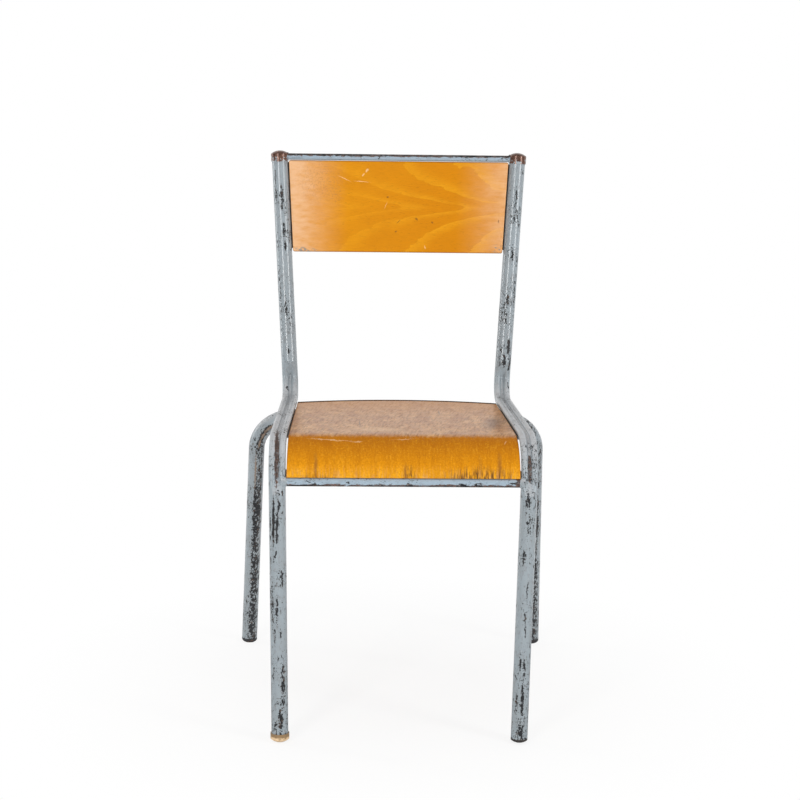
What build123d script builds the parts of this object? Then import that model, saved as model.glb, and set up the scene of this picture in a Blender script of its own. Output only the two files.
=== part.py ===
from build123d import *
import os
from math import asin, atan2, degrees, radians, sqrt, tan

# A stacking chair: two bent side tubes, a rear leg hoop, a front crossbar and a top rail, all steel,
# with a moulded plywood seat and a plywood backrest. The chair faces -Y and stands on z = 0, with the
# origin on the floor at the middle of its box. All sizes are in millimetres.

os.makedirs("parts", exist_ok=True)

# ---- tube stock
tube_dia = 25.0
tube_wall = 1.5
groove_width = 5.4          # between the two lobes of the pressed section
groove_rise = 3.0           # centre of the groove's round bottom, above the lobes' centres
groove_fade = 22.0          # length over which the pressed section turns round
rod_dia = 13.0              # front crossbar
top_rod_dia = 10.0          # top rail

# ---- centre line of a side tube: half widths, heights above the floor, depths from the front corner
foot_half_width = 178.0
front_half_width = 185.0
rear_half_width = 167.5
top_half_width = 188.3
front_height = 457.0
rail_drop = 19.0            # rear corner, below the front corner
overall_height = 824.0
foot_reach = 22.0           # foot, in front of the front corner
rail_depth = 355.0          # front corner to rear corner
post_lean = 47.0            # top of the post, behind the rear corner
front_bend = 57.0
rear_bend = 36.0

# ---- rear leg hoop
hoop_depth = 299.0          # crosspiece, behind the front corner
rear_foot_depth = 433.0     # foot, behind the front corner
shoulder_half_width = 219.0
rear_foot_half_width = 235.3
hoop_bend = 59.0
saddle = 1.0                # how deep the crosspiece is coped to the rails

# ---- rods
crossbar_drop = 62.2        # axis of the crossbar, below the front corner
top_rail_drop = 9.5         # axis of the top rail, below the overall height

# ---- seat
seat_thickness = 9.0
seat_drop = 1.0             # top of the seat, below the centre line of the rails
seat_side_gap = 2.2         # to the rails, at the seat's front
seat_rear_gap = 0.6
lip_radius = 63.5
lip_front = 9.0             # face of the lip, in front of the front corner
lip_gap = 0.5               # under the lip, above the crossbar
seat_rear_depth = 332.0     # middle of the rear edge, behind the front corner
seat_rear_bow = 24.0
edge_round = 1.5

# ---- backrest
board_thickness = 9.0
board_height = 143.8
board_side_gap = 1.5
board_top_gap = 0.6
board_corner = 3.0

# ---- flat steel that carries the wood
strip_thickness = 3.0
strip_lap = 18.0            # width of a strip under the wood
strip_bite = 0.6            # how far a strip's edge is coped to its tube
seat_strip_start = 78.0     # from the front corner
seat_strip_end = 278.0
back_strip_margin = 5.0     # above the board's lower edge
back_strip_gap = 1.0        # below the cap's foot
tab_width = 22.0
tab_height = 10.5
tab_gap = 0.3               # between a tab and the lip, at the tab's edges

# ---- screws
screw_dia = 4.0
screw_bite = 6.5            # length in the wood
screw_head_dia = 8.0
screw_head = 2.6
screw_rim = 1.0             # height of the head's rim, under its dome
screw_slot = 1.0
screw_point = 2.0
screw_clearance = 0.3       # round the shank, in the steel
thread_clearance = 0.05     # round the shank, in the wood
screw_margin = 16.0         # from a strip's end to its end screw
seat_screws_per_strip = 3
back_screws_per_strip = 2

# ---- caps, glides and welds
fit = 0.1                   # clearance between a cap or plug and the tube
cap_wall = 1.0
cap_skirt = 12.4
cap_dome = 22.0             # sphere radius of the dome
glide_wall = 1.4
glide_skirt = 7.0
glide_dome = 20.0
plug_length = 15.0
plug_rim = 3.0
rear_plug_dome = 30.0
rear_plug_rim = 0.6
worn_depth = 0.4            # what wear has taken off a glide's dome
crossbar_weld = 2.0         # leg of the fillets at the ends of the crossbar
top_rail_weld = 1.5         # leg of the fillets at the ends of the top rail
rod_weld_arc = 80           # degrees of such a fillet's arc, just short of the tangent point on the rod
hoop_weld = 3.5             # leg of the fillets between the hoop and the rails

# ---- values that follow
tube_radius = tube_dia / 2
bore_radius = tube_radius - tube_wall
groove_root = groove_width / 2
lobe_radius = (tube_radius**2 + groove_rise**2 - groove_root**2) / (2 * (tube_radius + groove_root))
lobe_shift = tube_radius - lobe_radius
rod_radius = rod_dia / 2
top_rod_radius = top_rod_dia / 2
cap_radius = tube_radius + fit + cap_wall
glide_radius = tube_radius + fit + glide_wall
sides = {"left": -1, "right": 1}
rear_height = front_height - rail_drop
crossbar_height = front_height - crossbar_drop
front_y = (foot_reach + glide_radius - rear_foot_depth - tube_radius) / 2
rear_y = front_y + rail_depth
hoop_y = front_y + hoop_depth


def corners(side):
    """Corner points of a side tube's centre line: on the floor, front, rear, at the overall height."""
    floor = Vector(side * foot_half_width, front_y - foot_reach, 0)
    front = Vector(side * front_half_width, front_y, front_height)
    rear = Vector(side * rear_half_width, rear_y, rear_height)
    top = Vector(side * top_half_width, rear_y + post_lean, overall_height)
    return floor, front, rear, top


def bend(before, corner, after, radius):
    """Start, end, centre, axis and angle of the arc that rounds a corner."""
    along = (corner - before).normalized()
    onward = (after - corner).normalized()
    axis = along.cross(onward).normalized()
    angle = along.get_angle(onward)
    tangent = radius * tan(radians(angle / 2))
    start = corner - along * tangent
    centre = start + axis.cross(along) * radius
    return start, corner + onward * tangent, centre, axis, angle


def point_at_height(low, high, height):
    """The point at a height on the line through two points."""
    return low + (high - low) * ((height - low.Z) / (high.Z - low.Z))


def leg_end(floor, corner, dome, rim_radius, rim):
    """End of a leg's tube, over a domed glide that stands on the floor, and the leg's direction."""
    up = (corner - floor).normalized()
    centre = floor + up * ((dome - worn_depth) / up.Z)
    return centre - up * (sqrt(dome**2 - rim_radius**2) - rim), up


def section_plane(origin, across, along):
    """A plane square to a tube; its X is across, its Z along."""
    return Plane(origin=origin, x_dir=across, z_dir=along)


def axial_plane(origin, up):
    """A plane through an axis, its Y along the axis."""
    across = (Vector(1, 0, 0) - up * up.X).normalized()
    return Plane(origin=origin, x_dir=across, z_dir=across.cross(up))


def round_section(plane, radius):
    """A round contour in the four arcs that the grooved one has."""
    crown = 8               # half angle, in degrees, of the arc that becomes the groove's root
    with BuildSketch(plane) as section:
        with BuildLine():
            CenterArc((0, 0), radius, 180, 180)
            CenterArc((0, 0), radius, 0, 90 - crown)
            CenterArc((0, 0), radius, 90 - crown, 2 * crown)
            CenterArc((0, 0), radius, 90 + crown, 90 - crown)
        make_face()
    return section.sketch


def grooved_section(plane, radius):
    """The pressed contour: a half round below, two lobes above and the groove's round bottom between them."""
    inset = tube_radius - radius
    turn = degrees(atan2(groove_rise, lobe_shift))
    with BuildSketch(plane) as section:
        with BuildLine():
            CenterArc((0, 0), radius, 180, 180)
            CenterArc((lobe_shift, 0), lobe_radius - inset, 0, 180 - turn)
            CenterArc((0, groove_rise), groove_root + inset, turn - 180, 180 - 2 * turn)
            CenterArc((-lobe_shift, 0), lobe_radius - inset, turn, 180 - turn)
        make_face()
    return section.sketch


def side_leg_end(side):
    """End of a front leg's tube and the leg's direction."""
    floor, front, rear, top = corners(side)
    return leg_end(floor, front, glide_dome, tube_radius, plug_rim)


def cap_centre(side):
    """Centre of a cap's dome, on the post's line, and the post's direction."""
    floor, front, rear, top = corners(side)
    return point_at_height(rear, top, overall_height - cap_dome), (top - rear).normalized()


def post_end(side):
    """End of a post's tube, just under its cap's dome."""
    centre, up = cap_centre(side)
    inner_rim = sqrt((cap_dome - cap_wall)**2 - (tube_radius + fit)**2)
    return centre + up * (inner_rim - fit)


def side_body(side, radius, stretch):
    """A side tube's whole run as a solid of one radius; stretch lengthens both ends."""
    floor, front, rear, top = corners(side)
    foot, up_leg = side_leg_end(side)
    along_rail = (rear - front).normalized()
    up_post = (top - rear).normalized()
    start1, end1, centre1, axis1, angle1 = bend(floor, front, rear, front_bend)
    start2, end2, centre2, axis2, angle2 = bend(front, rear, top, rear_bend)
    across2 = axis2 * -1
    leg_low = section_plane(foot - up_leg * stretch, axis1, up_leg)
    leg_high = section_plane(start1 - up_leg * groove_fade, axis1, up_leg)
    post_low = section_plane(end2 + up_post * groove_fade, across2, up_post)
    leg_length = (leg_high.origin - leg_low.origin).length
    post_length = (post_end(side) + up_post * stretch - post_low.origin).length
    leg_sections = [
        round_section(leg_high, radius),
        grooved_section(section_plane(start1, axis1, up_leg), radius),
    ]
    rail_sections = [
        grooved_section(section_plane(end1, axis1, along_rail), radius),
        grooved_section(section_plane(start2, across2, along_rail), radius),
    ]
    post_sections = [
        grooved_section(section_plane(end2, across2, up_post), radius),
        round_section(post_low, radius),
    ]
    leg_foot = round_section(leg_low, radius)
    with BuildPart() as body:
        extrude(leg_foot, amount=leg_length)
        loft(leg_sections)
        revolve(leg_sections[1], axis=Axis(centre1, axis1), revolution_arc=angle1)
        loft(rail_sections)
        revolve(rail_sections[1], axis=Axis(centre2, axis2), revolution_arc=angle2)
        loft(post_sections)
        extrude(post_sections[1], amount=post_length)
    return body.part


def cap_body(side):
    """A post cap's outer shape, filled."""
    centre, up = cap_centre(side)
    half_angle = degrees(asin(cap_radius / cap_dome))
    rim = sqrt(cap_dome**2 - cap_radius**2)
    with BuildPart() as body:
        with BuildSketch(axial_plane(centre, up)):
            with BuildLine():
                CenterArc((0, 0), cap_dome, 90 - half_angle, half_angle)
                Polyline((cap_radius, rim), (cap_radius, rim - cap_skirt), (0, rim - cap_skirt), (0, cap_dome))
            make_face()
        revolve(axis=Axis(centre, up))
    return body.part


def finish(part, name):
    """Label a finished piece and write it."""
    part.label = name
    export_step(part, f"parts/{name}.step")


# ---- side tubes
side_outer = {name: side_body(side, tube_radius, 0) for name, side in sides.items()}
for name, side in sides.items():
    bore = side_body(side, bore_radius, tube_wall)
    with BuildPart() as side_frame:
        add(side_outer[name])
        add(bore, mode=Mode.SUBTRACT)
    finish(side_frame.part, f"side_frame_{name}")


# ---- rear leg hoop
rail_slope = rail_drop / rail_depth
rail_tilt = sqrt(1 + rail_slope**2)
rail_height_at_hoop = front_height - rail_slope * hoop_depth
hoop_height = rail_height_at_hoop - tube_radius * rail_tilt - tube_radius + saddle


def hoop_corners():
    """Corner points of the hoop's centre line, left foot to right foot."""
    foot_y = front_y + rear_foot_depth
    left_foot = Vector(-rear_foot_half_width, foot_y, 0)
    left_shoulder = Vector(-shoulder_half_width, hoop_y, hoop_height)
    right_shoulder = Vector(shoulder_half_width, hoop_y, hoop_height)
    right_foot = Vector(rear_foot_half_width, foot_y, 0)
    return left_foot, left_shoulder, right_shoulder, right_foot


def rear_leg_end(side):
    """End of a rear leg's tube and the leg's direction."""
    left_foot, left_shoulder, right_shoulder, right_foot = hoop_corners()
    floor, shoulder = (left_foot, left_shoulder) if side < 0 else (right_foot, right_shoulder)
    return leg_end(floor, shoulder, rear_plug_dome, tube_radius, rear_plug_rim)


def hoop_body(radius, stretch):
    """The hoop's whole run as a solid of one radius; stretch lengthens both ends."""
    left_foot, left_shoulder, right_shoulder, right_foot = hoop_corners()
    left_end, left_up = rear_leg_end(-1)
    right_end, right_up = rear_leg_end(1)
    first = left_end - left_up * stretch
    last = right_end - right_up * stretch
    with BuildPart() as body:
        with BuildLine() as run:
            FilletPolyline(first, left_shoulder, right_shoulder, last, radius=hoop_bend)
        with BuildSketch(Plane(origin=first, z_dir=left_up)):
            Circle(radius)
        sweep(path=run.line)
    return body.part


hoop_outer = hoop_body(tube_radius, 0)
hoop_bore = hoop_body(bore_radius, tube_wall)
with BuildPart() as rear_leg_hoop:
    add(hoop_outer)
    add(hoop_bore, mode=Mode.SUBTRACT)
    for outer in side_outer.values():
        add(outer, mode=Mode.SUBTRACT)
finish(rear_leg_hoop.part, "rear_leg_hoop")


# ---- front crossbar, coped to the side tubes
def crossbar_end(side):
    """Where the crossbar's axis meets a leg's centre line."""
    floor, front, rear, top = corners(side)
    return point_at_height(floor, front, crossbar_height)


def rod_body(end, radius):
    """A rod along X, its ends half way into the tubes on two mirrored centre lines."""
    with BuildPart() as body:
        with BuildSketch(Plane.YZ):
            with Locations((end.Y, end.Z)):
                Circle(radius)
        extrude(amount=abs(end.X) - tube_radius / 2, both=True)
    return body.part


crossbar_rod = rod_body(crossbar_end(1), rod_radius)
with BuildPart() as front_crossbar:
    add(crossbar_rod)
    for outer in side_outer.values():
        add(outer, mode=Mode.SUBTRACT)
finish(front_crossbar.part, "front_crossbar")


# ---- caps on the posts, and the top rail between them
cap_outer = {name: cap_body(side) for name, side in sides.items()}
for name, side in sides.items():
    centre, up = cap_centre(side)
    inner_radius = tube_radius + fit
    inner_dome = cap_dome - cap_wall
    inner_angle = degrees(asin(inner_radius / inner_dome))
    inner_rim = sqrt(inner_dome**2 - inner_radius**2)
    with BuildPart() as post_cap:
        add(cap_outer[name])
        with BuildSketch(axial_plane(centre, up)):
            with BuildLine():
                CenterArc((0, 0), inner_dome, 90 - inner_angle, inner_angle)
                Polyline((inner_radius, inner_rim), (inner_radius, 0), (0, 0), (0, inner_dome))
            make_face()
        revolve(axis=Axis(centre, up), mode=Mode.SUBTRACT)
    finish(post_cap.part, f"post_cap_{name}")


def top_rail_end(side):
    """Where the top rail's axis meets a post's centre line."""
    floor, front, rear, top = corners(side)
    return point_at_height(rear, top, overall_height - top_rail_drop)


top_rod = rod_body(top_rail_end(1), top_rod_radius)
with BuildPart() as top_rail:
    add(top_rod)
    for outer in cap_outer.values():
        add(outer, mode=Mode.SUBTRACT)
finish(top_rail.part, "top_rail")


# ---- glides
def glide_part(end, up, dome, rim, radius, upper_points):
    """A domed glide, worn flat where it stands on the floor; its profile's Y runs up from the tube's end."""
    centre = sqrt(dome**2 - tube_radius**2) - rim
    edge_angle = degrees(asin(radius / dome))
    edge = (radius, centre - sqrt(dome**2 - radius**2))
    with BuildPart() as glide:
        with BuildSketch(axial_plane(end, up)):
            with BuildLine():
                CenterArc((0, centre), dome, -90, edge_angle)
                Polyline(edge, *upper_points, (0, centre - dome))
            make_face()
        revolve(axis=Axis(end, up))
        split(bisect_by=Plane.XY, keep=Keep.TOP)
    return glide.part


spigot = bore_radius - fit
plug_points = [(tube_radius, 0), (spigot, 0), (spigot, plug_length), (0, plug_length)]
cup_inner = tube_radius + fit
cup_points = [(glide_radius, glide_skirt), (cup_inner, glide_skirt), (cup_inner, 0), (0, 0)]
front_left_glide = glide_part(*side_leg_end(-1), glide_dome, plug_rim, glide_radius, cup_points)
front_right_glide = glide_part(*side_leg_end(1), glide_dome, plug_rim, tube_radius, plug_points)
rear_left_glide = glide_part(*rear_leg_end(-1), rear_plug_dome, rear_plug_rim, tube_radius, plug_points)
rear_right_glide = glide_part(*rear_leg_end(1), rear_plug_dome, rear_plug_rim, tube_radius, plug_points)
finish(front_left_glide, "front_left_glide")
finish(front_right_glide, "front_right_glide")
finish(rear_left_glide, "rear_left_glide")
finish(rear_right_glide, "rear_right_glide")


# ---- weld fillets
def rod_welds(end, radius, host_radius, leg, others):
    """A fillet round each end of a rod, against its hosts, coped to all that it touches."""
    top = radius + leg
    with BuildPart() as beads:
        for side in sides.values():
            face = Vector(side * (abs(end.X) - host_radius), end.Y, end.Z)
            with BuildSketch(Plane(origin=face, x_dir=(side, 0, 0), z_dir=(0, -side, 0))):
                with BuildLine():
                    arc = CenterArc((-leg, top), leg, -rod_weld_arc, rod_weld_arc)
                    Polyline(arc @ 1, (host_radius / 2, top), (host_radius / 2, 0), ((arc @ 0).X, 0), arc @ 0)
                make_face()
            revolve(axis=Axis(face, (1, 0, 0)))
        for other in others:
            add(other, mode=Mode.SUBTRACT)
    return beads.part


crossbar_hosts = [crossbar_rod, *side_outer.values()]
crossbar_welds = rod_welds(crossbar_end(1), rod_radius, tube_radius, crossbar_weld, crossbar_hosts)
finish(crossbar_welds, "crossbar_welds")
top_rail_hosts = [top_rod, *cap_outer.values()]
top_rail_welds = rod_welds(top_rail_end(1), top_rod_radius, cap_radius, top_rail_weld, top_rail_hosts)
finish(top_rail_welds, "top_rail_welds")


def rail_half_width(depth):
    """Half width between the rails' centre lines at a depth behind the front corner."""
    return front_half_width + (rear_half_width - front_half_width) * depth / rail_depth


with BuildPart() as hoop_welds:
    with BuildSketch(Plane.XY.offset(hoop_height + tube_radius - hoop_weld)):
        for side in sides.values():
            with Locations((side * rail_half_width(hoop_depth), hoop_y)):
                Circle(tube_radius - hoop_weld)
    extrude(amount=2 * hoop_weld)
    for outer in (hoop_outer, *side_outer.values()):
        add(outer, mode=Mode.SUBTRACT)
finish(hoop_welds.part, "hoop_welds")


# ---- where the seat lies: a flat along the rails' slope and a roll over the front corner
def seat_height(depth):
    """Height of the seat's flat top at a depth behind the front corner."""
    return front_height - seat_drop * rail_tilt - rail_slope * depth


lip_start = lip_radius * (1 + rail_slope / rail_tilt) - lip_front
lip_centre_y = front_y + lip_start - lip_radius * rail_slope / rail_tilt
lip_centre_z = seat_height(lip_start) - lip_radius / rail_tilt
lip_floor = crossbar_height + rod_radius + lip_gap
seat_up = Vector(0, rail_slope, 1).normalized()
seat_under = seat_drop + seat_thickness
seat_inset = tube_radius + seat_side_gap


# ---- strips under the seat, along the rails
def rail_frame(side, depth):
    """A plane square to a rail, its origin on the centre line, X inward and Y square to the seat."""
    floor, front, rear, top = corners(side)
    along = (rear - front).normalized()
    inward = seat_up.cross(along) * side
    origin = front + (rear - front) * (depth / rail_depth)
    return Plane(origin=origin, x_dir=inward, z_dir=inward.cross(seat_up))


def screw_plane(origin, outward):
    """A plane under a screw's head, its Z out of the wood."""
    return Plane(origin=origin, x_dir=Vector(1, 0, 0), z_dir=outward)


strip_outer = sqrt(tube_radius**2 - seat_under**2) - strip_bite
strip_inner = seat_inset + strip_lap
seat_screw_planes = []
for side in sides.values():
    for index in range(seat_screws_per_strip):
        span = seat_strip_end - seat_strip_start - 2 * screw_margin
        depth = seat_strip_start + screw_margin + span * index / (seat_screws_per_strip - 1)
        head = rail_frame(side, depth).from_local_coords(
            Vector((seat_inset + strip_inner) / 2, -seat_under - strip_thickness, 0)
        )
        seat_screw_planes.append(screw_plane(head, seat_up * -1))

for name, side in sides.items():
    with BuildPart() as seat_strip:
        with BuildSketch(rail_frame(side, seat_strip_start)):
            with Locations(((strip_outer + strip_inner) / 2, -seat_under - strip_thickness / 2)):
                Rectangle(strip_inner - strip_outer, strip_thickness)
        extrude(amount=side * (seat_strip_end - seat_strip_start) * rail_tilt)
        with Locations(*seat_screw_planes):
            Hole(screw_dia / 2 + screw_clearance, depth=2 * strip_thickness)
        add(side_outer[name], mode=Mode.SUBTRACT)
    finish(seat_strip.part, f"seat_strip_{name}")


# ---- tabs behind the lip, standing on the crossbar
tab_reach = lip_radius - seat_thickness
tab_rise = (crossbar_height + rod_radius + tab_height / 2 - lip_centre_z) / tab_reach
tab_back = Vector(0, sqrt(1 - tab_rise**2), -tab_rise)
tab_face = sqrt(tab_reach**2 - (tab_height / 2)**2) - tab_gap
tab_centre = Vector(0, lip_centre_y, lip_centre_z) - tab_back * (tab_face - strip_thickness)
tab_outer = abs(crossbar_end(1).X)
tab_inner = tab_outer - tube_radius - tab_width
tab_screw_planes = []
for side in sides.values():
    across = Vector(side * (tab_inner + tab_width / 2), 0, 0)
    tab_screw_planes.append(screw_plane(tab_centre + across, tab_back))

for name, side in sides.items():
    with BuildPart() as front_tab:
        with BuildSketch(Plane(origin=tab_centre, x_dir=(-1, 0, 0), z_dir=tab_back)):
            with Locations((-side * (tab_outer + tab_inner) / 2, -rod_radius / 2)):
                Rectangle(tab_outer - tab_inner, tab_height + rod_radius)
        extrude(amount=-strip_thickness)
        with Locations(*tab_screw_planes):
            Hole(screw_dia / 2 + screw_clearance, depth=2 * strip_thickness)
        for other in (crossbar_rod, crossbar_welds, side_outer[name]):
            add(other, mode=Mode.SUBTRACT)
    finish(front_tab.part, f"front_tab_{name}")


# ---- seat: the rolled profile, trimmed to its plan
seat_corner_depth = seat_rear_depth - seat_rear_bow
plan_front = -2 * lip_front
front_half = rail_half_width(plan_front) - seat_inset
rear_half = rail_half_width(seat_corner_depth) - tube_radius - seat_rear_gap
blank_rear = seat_rear_depth + seat_rear_bow
with BuildPart() as seat_panel:
    with BuildSketch(Plane.YZ):
        with BuildLine():
            flat = Line(
                (front_y + blank_rear, seat_height(blank_rear)),
                (front_y + lip_start, seat_height(lip_start)),
            )
            JernArc(start=flat @ 1, tangent=flat % 1, radius=lip_radius, arc_size=90)
            offset(amount=seat_thickness, side=Side.LEFT)
        make_face()
    extrude(amount=front_half_width, both=True)
    with BuildSketch(Plane.XY.offset(lip_floor)):
        with BuildLine():
            plan = Polyline(
                (-rear_half, front_y + seat_corner_depth),
                (-front_half, front_y + plan_front),
                (front_half, front_y + plan_front),
                (rear_half, front_y + seat_corner_depth),
            )
            ThreePointArc(plan @ 1, (0, front_y + seat_rear_depth), plan @ 0)
        make_face()
    extrude(amount=front_height, mode=Mode.INTERSECT)
    fillet(seat_panel.edges().filter_by(lambda edge: edge.length > 3 * seat_thickness), edge_round)
    with Locations(*seat_screw_planes):
        Hole(screw_dia / 2 + thread_clearance, depth=strip_thickness + screw_bite + fit)
    with Locations(*tab_screw_planes):
        Hole(screw_dia / 2 + thread_clearance, depth=strip_thickness + tab_gap + screw_bite)
finish(seat_panel.part, "seat_panel")


# ---- backrest, in the plane of the two posts
post_height = overall_height - rear_height
post_run = sqrt(post_lean**2 + post_height**2)
board_up = Vector(0, post_lean / post_run, post_height / post_run)
board_front = Vector(0, -board_up.Z, board_up.Y)
board_plane = Plane(origin=(0, rear_y, rear_height), x_dir=(1, 0, 0), z_dir=board_front)
post_splay = (top_half_width - rear_half_width) / post_run
board_high = (post_height - top_rail_drop) / board_up.Z - top_rod_radius - board_top_gap
board_low = board_high - board_height
board_inset = tube_radius * sqrt(1 + post_splay**2) + board_side_gap


def between_posts(side, inset, along):
    """A point on the board's plane, in from a post's centre line, at a length up the posts."""
    return side * (rear_half_width + post_splay * along - inset), along


strip_back = board_thickness / 2 + strip_thickness
cap_foot = (post_height - cap_dome) / board_up.Z + sqrt(cap_dome**2 - cap_radius**2) - cap_skirt
back_strip_low = board_low + back_strip_margin
back_strip_high = cap_foot - back_strip_gap
back_strip_outer = sqrt(tube_radius**2 - (board_thickness / 2)**2) - strip_bite
back_strip_inner = board_inset + strip_lap
back_screw_planes = []
for side in sides.values():
    for index in range(back_screws_per_strip):
        span = back_strip_high - back_strip_low - 2 * screw_margin
        along = back_strip_low + screw_margin + span * index / (back_screws_per_strip - 1)
        across, along = between_posts(side, (board_inset + back_strip_inner) / 2, along)
        head = board_plane.from_local_coords(Vector(across, along, -strip_back))
        back_screw_planes.append(screw_plane(head, board_front * -1))

with BuildPart() as backrest_panel:
    with BuildSketch(board_plane) as board_outline:
        with BuildLine():
            Polyline(
                between_posts(-1, board_inset, board_low),
                between_posts(1, board_inset, board_low),
                between_posts(1, board_inset, board_high),
                between_posts(-1, board_inset, board_high),
                close=True,
            )
        make_face()
        fillet(board_outline.vertices(), board_corner)
    extrude(amount=board_thickness / 2, both=True)
    fillet(backrest_panel.edges().filter_by(lambda edge: edge.length > 2 * board_thickness), edge_round)
    with Locations(*back_screw_planes):
        Hole(screw_dia / 2 + thread_clearance, depth=strip_thickness + screw_bite + fit)
finish(backrest_panel.part, "backrest_panel")

for name, side in sides.items():
    with BuildPart() as back_strip:
        with BuildSketch(board_plane.offset(-strip_back)):
            with BuildLine():
                Polyline(
                    between_posts(side, back_strip_outer, back_strip_low),
                    between_posts(side, back_strip_inner, back_strip_low),
                    between_posts(side, back_strip_inner, back_strip_high),
                    between_posts(side, back_strip_outer, back_strip_high),
                    close=True,
                )
            make_face()
        extrude(amount=strip_thickness)
        with Locations(*back_screw_planes):
            Hole(screw_dia / 2 + screw_clearance, depth=2 * strip_thickness)
        add(side_outer[name], mode=Mode.SUBTRACT)
    finish(back_strip.part, f"back_strip_{name}")


# ---- screws
def screw_group(planes):
    """One screw on each plane: a slotted pan head, and a plain shank through a strip into the wood."""
    length = strip_thickness + screw_bite
    shank = screw_dia / 2
    rim = screw_head_dia / 2
    crown = screw_head - screw_rim
    dome = (rim**2 + crown**2) / (2 * crown)
    half_angle = degrees(asin(rim / dome))
    with BuildPart() as screws:
        for plane in planes:
            with BuildSketch(Plane(origin=plane.origin, x_dir=plane.x_dir, z_dir=plane.y_dir * -1)):
                with BuildLine():
                    CenterArc((0, screw_head - dome), dome, 90 - half_angle, half_angle)
                    Polyline(
                        (rim, screw_rim),
                        (rim, 0),
                        (shank, 0),
                        (shank, screw_point - length),
                        (0, -length),
                        (0, screw_head),
                    )
                make_face()
            revolve(axis=Axis(plane.origin, plane.z_dir))
            with Locations(plane.offset(screw_head)):
                Box(screw_head_dia, screw_slot, 2 * screw_slot, mode=Mode.SUBTRACT)
    return screws.part


finish(screw_group(seat_screw_planes), "seat_screws")
finish(screw_group(tab_screw_planes), "tab_screws")
finish(screw_group(back_screw_planes), "back_screws")
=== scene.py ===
# %% [markdown]
# # A stacking chair, dressed in Blender
# The real chair is a welded frame of bent steel tube, painted blue-grey, with a moulded plywood seat and a
# plywood backrest. The frame, with every tube, cap, strip and screw, comes ready-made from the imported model,
# so this lesson adds what that model can't hold: the light, the camera, and above all the finishes, which on
# this chair are half worn away.

# %% Load the frame
import math

import bpy
from mathutils import Matrix, Vector


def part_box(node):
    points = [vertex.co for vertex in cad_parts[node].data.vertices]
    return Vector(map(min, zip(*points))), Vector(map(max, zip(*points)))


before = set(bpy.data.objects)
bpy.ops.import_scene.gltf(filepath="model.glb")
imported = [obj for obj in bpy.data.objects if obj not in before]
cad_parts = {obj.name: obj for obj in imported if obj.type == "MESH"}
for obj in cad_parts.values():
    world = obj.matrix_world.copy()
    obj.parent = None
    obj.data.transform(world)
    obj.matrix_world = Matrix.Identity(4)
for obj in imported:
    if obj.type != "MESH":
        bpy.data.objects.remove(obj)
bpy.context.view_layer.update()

# %% [markdown]
# ## Small helpers for materials
# A colour is easiest to read as the hex value that a colour picker shows, which is sRGB. Blender's shaders
# count in linear light, so one function turns the one into the other. Another adds a node, gives it its
# settings, fills or links its inputs and hands back its first output, ready to go into the next node. That
# keeps each material as short as its description.


# %% Colour and node helpers
def linear(hex_colour):
    """An sRGB hex colour as linear red, green, blue and alpha."""
    channels = [int(hex_colour[i : i + 2], 16) / 255 for i in (1, 3, 5)]
    return [c / 12.92 if c <= 0.04045 else ((c + 0.055) / 1.055) ** 2.4 for c in channels] + [1.0]


def add_node(tree, kind, *values, named=None, **settings):
    """Adds a node and returns its first output.

    settings are the node's properties. values fill its inputs in the order that Blender shows them, and
    named fills single ones; each is a number, a hex colour or the output to link from."""
    node = tree.nodes.new("ShaderNode" + kind)
    for name, value in settings.items():
        setattr(node, name, value)
    shown = [socket for socket in node.inputs if socket.enabled]
    filled = [*zip(shown, values), *((node.inputs[name], value) for name, value in (named or {}).items())]
    for socket, value in filled:
        if isinstance(value, bpy.types.NodeSocket):
            tree.links.new(value, socket)
        else:
            socket.default_value = linear(value) if isinstance(value, str) else value
    return next((socket for socket in node.outputs if socket.enabled), None)


print("mid grey is", [round(c, 3) for c in linear("#808080")[:3]])

# %% [markdown]
# ## The camera
# The chair is seen from a little above and slightly to its right-hand side, with a long lens, so that its
# uprights stay almost parallel. A lens that long needs about 3.7 metres to hold the whole chair.

# %% Camera
camera_place = Vector((-0.1352, -3.6026, 1.3368))
camera_forward = Vector((0.0367, 0.9703, -0.2392))
camera_roll = math.radians(0.94)
camera_data = bpy.data.cameras.new("camera")
camera_data.sensor_width = 36.0
camera_data.lens = 108.8
camera_data.shift_y = 0.0156
camera = bpy.data.objects.new("camera", camera_data)
bpy.context.scene.collection.objects.link(camera)
camera.matrix_world = (
    Matrix.Translation(camera_place)
    @ camera_forward.to_track_quat("-Z", "Y").to_matrix().to_4x4()
    @ Matrix.Rotation(camera_roll, 4, "Z")
)
bpy.context.scene.camera = camera
bpy.context.scene.view_settings.view_transform = "Standard"
print("camera to chair:", round((camera_place - Vector((0, 0, 0.45))).length, 3), "m")

# %% [markdown]
# ## Floor, world and lamps
# The chair stands on a seamless sheet of white paper. Close to the feet the paper is a real white surface
# that takes the chair's shadow, and further out it fades to plain white, as an overexposed sweep does.
# Polished things show a studio's layout: behind the chair they mirror the white sweep, low down, and in front
# of it the dark room that the camera stands in. That is why varnish seen at a glancing angle turns pale while
# the same varnish seen square on keeps its full colour. Two tall softboxes in the dark room draw two bright
# lines down each tube, and a weak strip light behind on the left draws a pale rim. Grey walls at both sides
# give less light back than the rest of the room, so round tubes turn darker towards their edges.

# %% Studio
white = "#FFFFFF"
bpy.ops.object.select_all(action="DESELECT")
bpy.ops.mesh.primitive_circle_add(vertices=96, radius=9.0, fill_type="NGON", location=(0, 0, 0))
floor = bpy.context.object
floor.name = "floor"

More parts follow.
